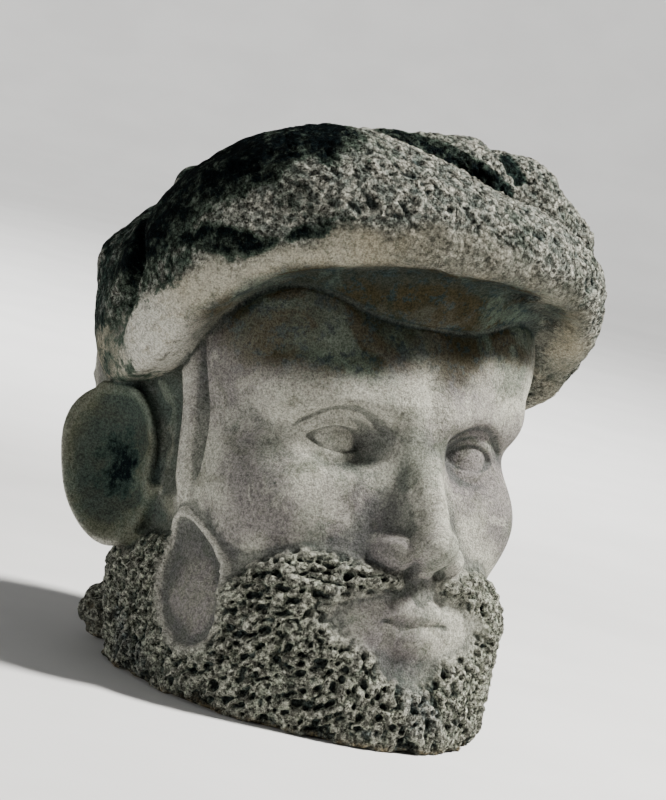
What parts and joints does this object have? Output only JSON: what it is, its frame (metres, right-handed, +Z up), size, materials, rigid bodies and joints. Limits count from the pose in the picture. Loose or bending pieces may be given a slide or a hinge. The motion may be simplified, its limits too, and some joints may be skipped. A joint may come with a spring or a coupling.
{
  "type": "head sculpture",
  "caption": "Over life-size carved stone head of a bearded man in a thick rolled and twisted cap, broken off flat below the beard and split away behind.",
  "frame": {"origin": "middle of the underside: the centre of the part's box, on the level break it stands on", "axes": "+Z up, -Y the way the face looks, +X the head's own left"},
  "size_m": [0.2558, 0.2401, 0.2876],
  "materials": {
    "stone": "weathered, matt"
  },
  "bodies": {
    "root": {"carved_head": "stone"}
  },
  "joints": []
}
